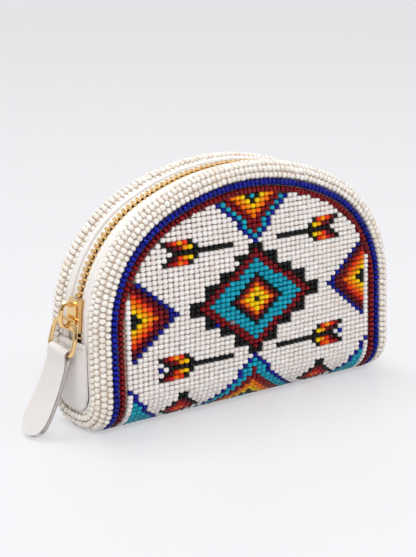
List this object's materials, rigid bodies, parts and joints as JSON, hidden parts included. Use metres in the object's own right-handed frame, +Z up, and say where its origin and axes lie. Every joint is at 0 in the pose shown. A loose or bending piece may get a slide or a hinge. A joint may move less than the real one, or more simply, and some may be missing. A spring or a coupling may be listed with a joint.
{
  "type": "coin purse",
  "caption": "Arched beaded coin purse with rolled bead borders, leather gusset and a metal zip with a leather pull",
  "frame": {"origin": "on the base, under the middle of the purse body", "axes": "+Z up, the front beaded face looks to -Y, +X runs to the right along the width; the slider is at the -X end"},
  "size_m": [0.1482, 0.0344, 0.0849],
  "materials": {
    "field_beads": "small glossy glass seed beads in many colours, mostly white, sewn in upright strands",
    "white_leather": "smooth white leather with a faint grain",
    "red_beads": "glossy dark red glass seed beads",
    "blue_beads": "glossy cobalt blue glass seed beads",
    "pearl_beads": "pearly off-white glass seed beads",
    "zip_tape": "white woven zip tape",
    "gold_metal": "polished gold-coloured metal"
  },
  "bodies": {
    "purse": {"beaded_panel": "field_beads", "panel_backing": "white_leather", "red_bead_row": "red_beads", "blue_bead_row": "blue_beads", "white_bead_edging": "pearl_beads", "gusset_front": "white_leather", "gusset_back": "white_leather", "end_patch_left": "white_leather", "end_patch_right": "white_leather", "zip_tape_front": "zip_tape", "zip_tape_back": "zip_tape", "zip_teeth_front": "gold_metal", "zip_teeth_back": "gold_metal", "zip_bottom_stop": "gold_metal"},
    "slider": {"slider_body": "gold_metal", "slider_bail": "gold_metal"},
    "ring": {"pull_ring": "gold_metal"},
    "pull": {"pull_tab": "white_leather"}
  },
  "joints": [
    {"name": "slider_travel", "type": "hinge", "parent": "purse", "child": "slider", "pos_m": [-0.0196, 0, 0.0355], "axis": [0, 1, 0], "range_deg": [0, 48], "deforming": ["zip_teeth_front", "zip_teeth_back"]},
    {"name": "ring_swing", "type": "hinge", "parent": "slider", "child": "ring", "pos_m": [-0.06694, 0, 0.03868], "axis": [0, 0.9962, 0.0872], "range_deg": [0, 90]},
    {"name": "pull_swing", "type": "hinge", "parent": "ring", "child": "pull", "pos_m": [-0.06932, 0.0009, 0.02839], "axis": [0, 0.9962, 0.0872], "range_deg": [0, 60]}
  ]
}
